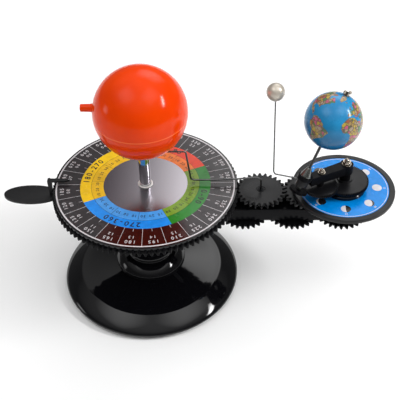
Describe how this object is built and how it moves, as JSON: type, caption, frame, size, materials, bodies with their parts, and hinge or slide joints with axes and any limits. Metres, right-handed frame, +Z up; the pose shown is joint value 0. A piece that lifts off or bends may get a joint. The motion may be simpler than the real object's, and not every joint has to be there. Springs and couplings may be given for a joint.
{
  "type": "tellurion",
  "caption": "Geared tabletop model of the sun, earth and moon: a hand-turned arm carries the tilted earth around a dial on a round foot while gears keep its axis pointing one way.",
  "frame": {"origin": "centre of the flat underside of the felt disc, on the column's axis", "axes": "+Z up along the column; +X along the arm from the column toward the earth at rest; +Y completes the right-handed frame"},
  "size_m": [0.4404, 0.21, 0.294],
  "materials": {
    "black_gloss": "glossy moulded black plastic",
    "black_satin": "satin moulded black plastic",
    "felt": "dark felt",
    "iron": "plain cast",
    "steel": "drawn and turned steel",
    "chrome": "bright plated",
    "white_plastic": "white moulded plastic",
    "bearing_plastic": "natural bearing plastic",
    "dial_print": "printed and laminated sheet",
    "phase_print": "printed and laminated sheet",
    "sun_plastic": "glossy orange-red plastic",
    "earth_plastic": "glossy printed globe",
    "moon_plastic": "pearl white plastic"
  },
  "bodies": {
    "base": {"base_shell": "black_gloss", "felt_disc": "felt", "ballast_ring": "iron", "column": "black_gloss", "column_bolt": "steel", "fixed_gear": "black_satin", "dial_gear": "black_satin", "dial_plate": "black_gloss", "dial_label": "dial_print", "dial_washer": "white_plastic", "sun_rod": "chrome", "sun_ball": "sun_plastic"},
    "arm": {"arm_beam": "black_gloss", "arm_cover": "black_satin", "arm_bush": "bearing_plastic", "handle": "black_satin", "pointer": "black_satin", "idler_pins": "steel", "first_axle": "steel", "second_axle": "steel", "disc_pillars": "black_satin", "phase_disc": "black_gloss", "phase_label": "phase_print", "phase_seat": "black_gloss", "spindle_bush": "bearing_plastic", "sunray_wire": "steel", "sunray_collar": "steel"},
    "idler_one": {"idler_gear_1": "black_satin"},
    "idler_two": {"idler_gear_2": "black_satin"},
    "idler_three": {"idler_gear_3": "black_satin"},
    "first_wheel": {"first_gear": "black_satin"},
    "second_wheel": {"second_gear": "black_satin"},
    "sleeve": {"drive_pinion": "black_satin", "large_gear": "black_satin"},
    "carriage": {"carriage_gear": "black_satin", "carriage_spindle": "steel", "bridge": "black_satin", "bridge_nut": "chrome", "relay_pin": "steel", "relay_nut": "chrome", "ferrule": "chrome"},
    "relay": {"relay_gear": "black_satin", "relay_pinion": "black_satin"},
    "earth": {"earth_gear": "black_satin", "earth_rod": "steel", "earth_ball": "earth_plastic", "earth_nut": "chrome"},
    "moon": {"moon_collar": "black_satin", "moon_wire": "steel", "moon_ball": "moon_plastic"}
  },
  "joints": [
    {"name": "arm_turn", "type": "hinge", "parent": "base", "child": "arm", "pos_m": [0, 0, 0.117], "axis": [0, 0, 1], "continuous": true},
    {"name": "idler_one_turn", "type": "hinge", "parent": "arm", "child": "idler_one", "pos_m": [0.05535, 0, 0.1058], "axis": [0, 0, 1], "continuous": true},
    {"name": "idler_two_turn", "type": "hinge", "parent": "arm", "child": "idler_two", "pos_m": [0.1107, 0, 0.1058], "axis": [0, 0, 1], "continuous": true},
    {"name": "idler_three_turn", "type": "hinge", "parent": "arm", "child": "idler_three", "pos_m": [0.16605, 0, 0.1058], "axis": [0, 0, 1], "continuous": true},
    {"name": "carriage_turn", "type": "hinge", "parent": "arm", "child": "carriage", "pos_m": [0.2214, 0, 0.117], "axis": [0, 0, 1], "continuous": true},
    {"name": "first_wheel_turn", "type": "hinge", "parent": "arm", "child": "first_wheel", "pos_m": [0.12915, 0, 0.136], "axis": [0, 0, 1], "continuous": true},
    {"name": "second_wheel_turn", "type": "hinge", "parent": "arm", "child": "second_wheel", "pos_m": [0.18347, 0, 0.135], "axis": [0, 0, 1], "continuous": true},
    {"name": "sleeve_turn", "type": "hinge", "parent": "arm", "child": "sleeve", "pos_m": [0.2214, 0, 0.14], "axis": [0, 0, 1], "continuous": true},
    {"name": "relay_turn", "type": "hinge", "parent": "carriage", "child": "relay", "pos_m": [0.19277, -0.01452, 0.15678], "axis": [0, 0, 1], "continuous": true},
    {"name": "earth_turn", "type": "hinge", "parent": "carriage", "child": "earth", "pos_m": [0.17167, -0.02523, 0.1706], "axis": [0.3556, 0.1804, 0.9171], "continuous": true},
    {"name": "moon_turn", "type": "hinge", "parent": "carriage", "child": "moon", "pos_m": [0.17167, -0.02523, 0.1706], "axis": [0.3556, 0.1804, 0.9171], "range_deg": [-60, 150]}
  ],
  "couplings": [
    {"joint": "idler_one_turn", "follows": "arm_turn", "ratio": 1},
    {"joint": "idler_two_turn", "follows": "arm_turn", "ratio": -1},
    {"joint": "idler_three_turn", "follows": "arm_turn", "ratio": 1},
    {"joint": "carriage_turn", "follows": "arm_turn", "ratio": -1},
    {"joint": "first_wheel_turn", "follows": "arm_turn", "ratio": 3.8462},
    {"joint": "second_wheel_turn", "follows": "arm_turn", "ratio": -3.7037},
    {"joint": "sleeve_turn", "follows": "arm_turn", "ratio": 10},
    {"joint": "relay_turn", "follows": "arm_turn", "ratio": -47.85},
    {"joint": "earth_turn", "follows": "arm_turn", "ratio": 95.7}
  ]
}
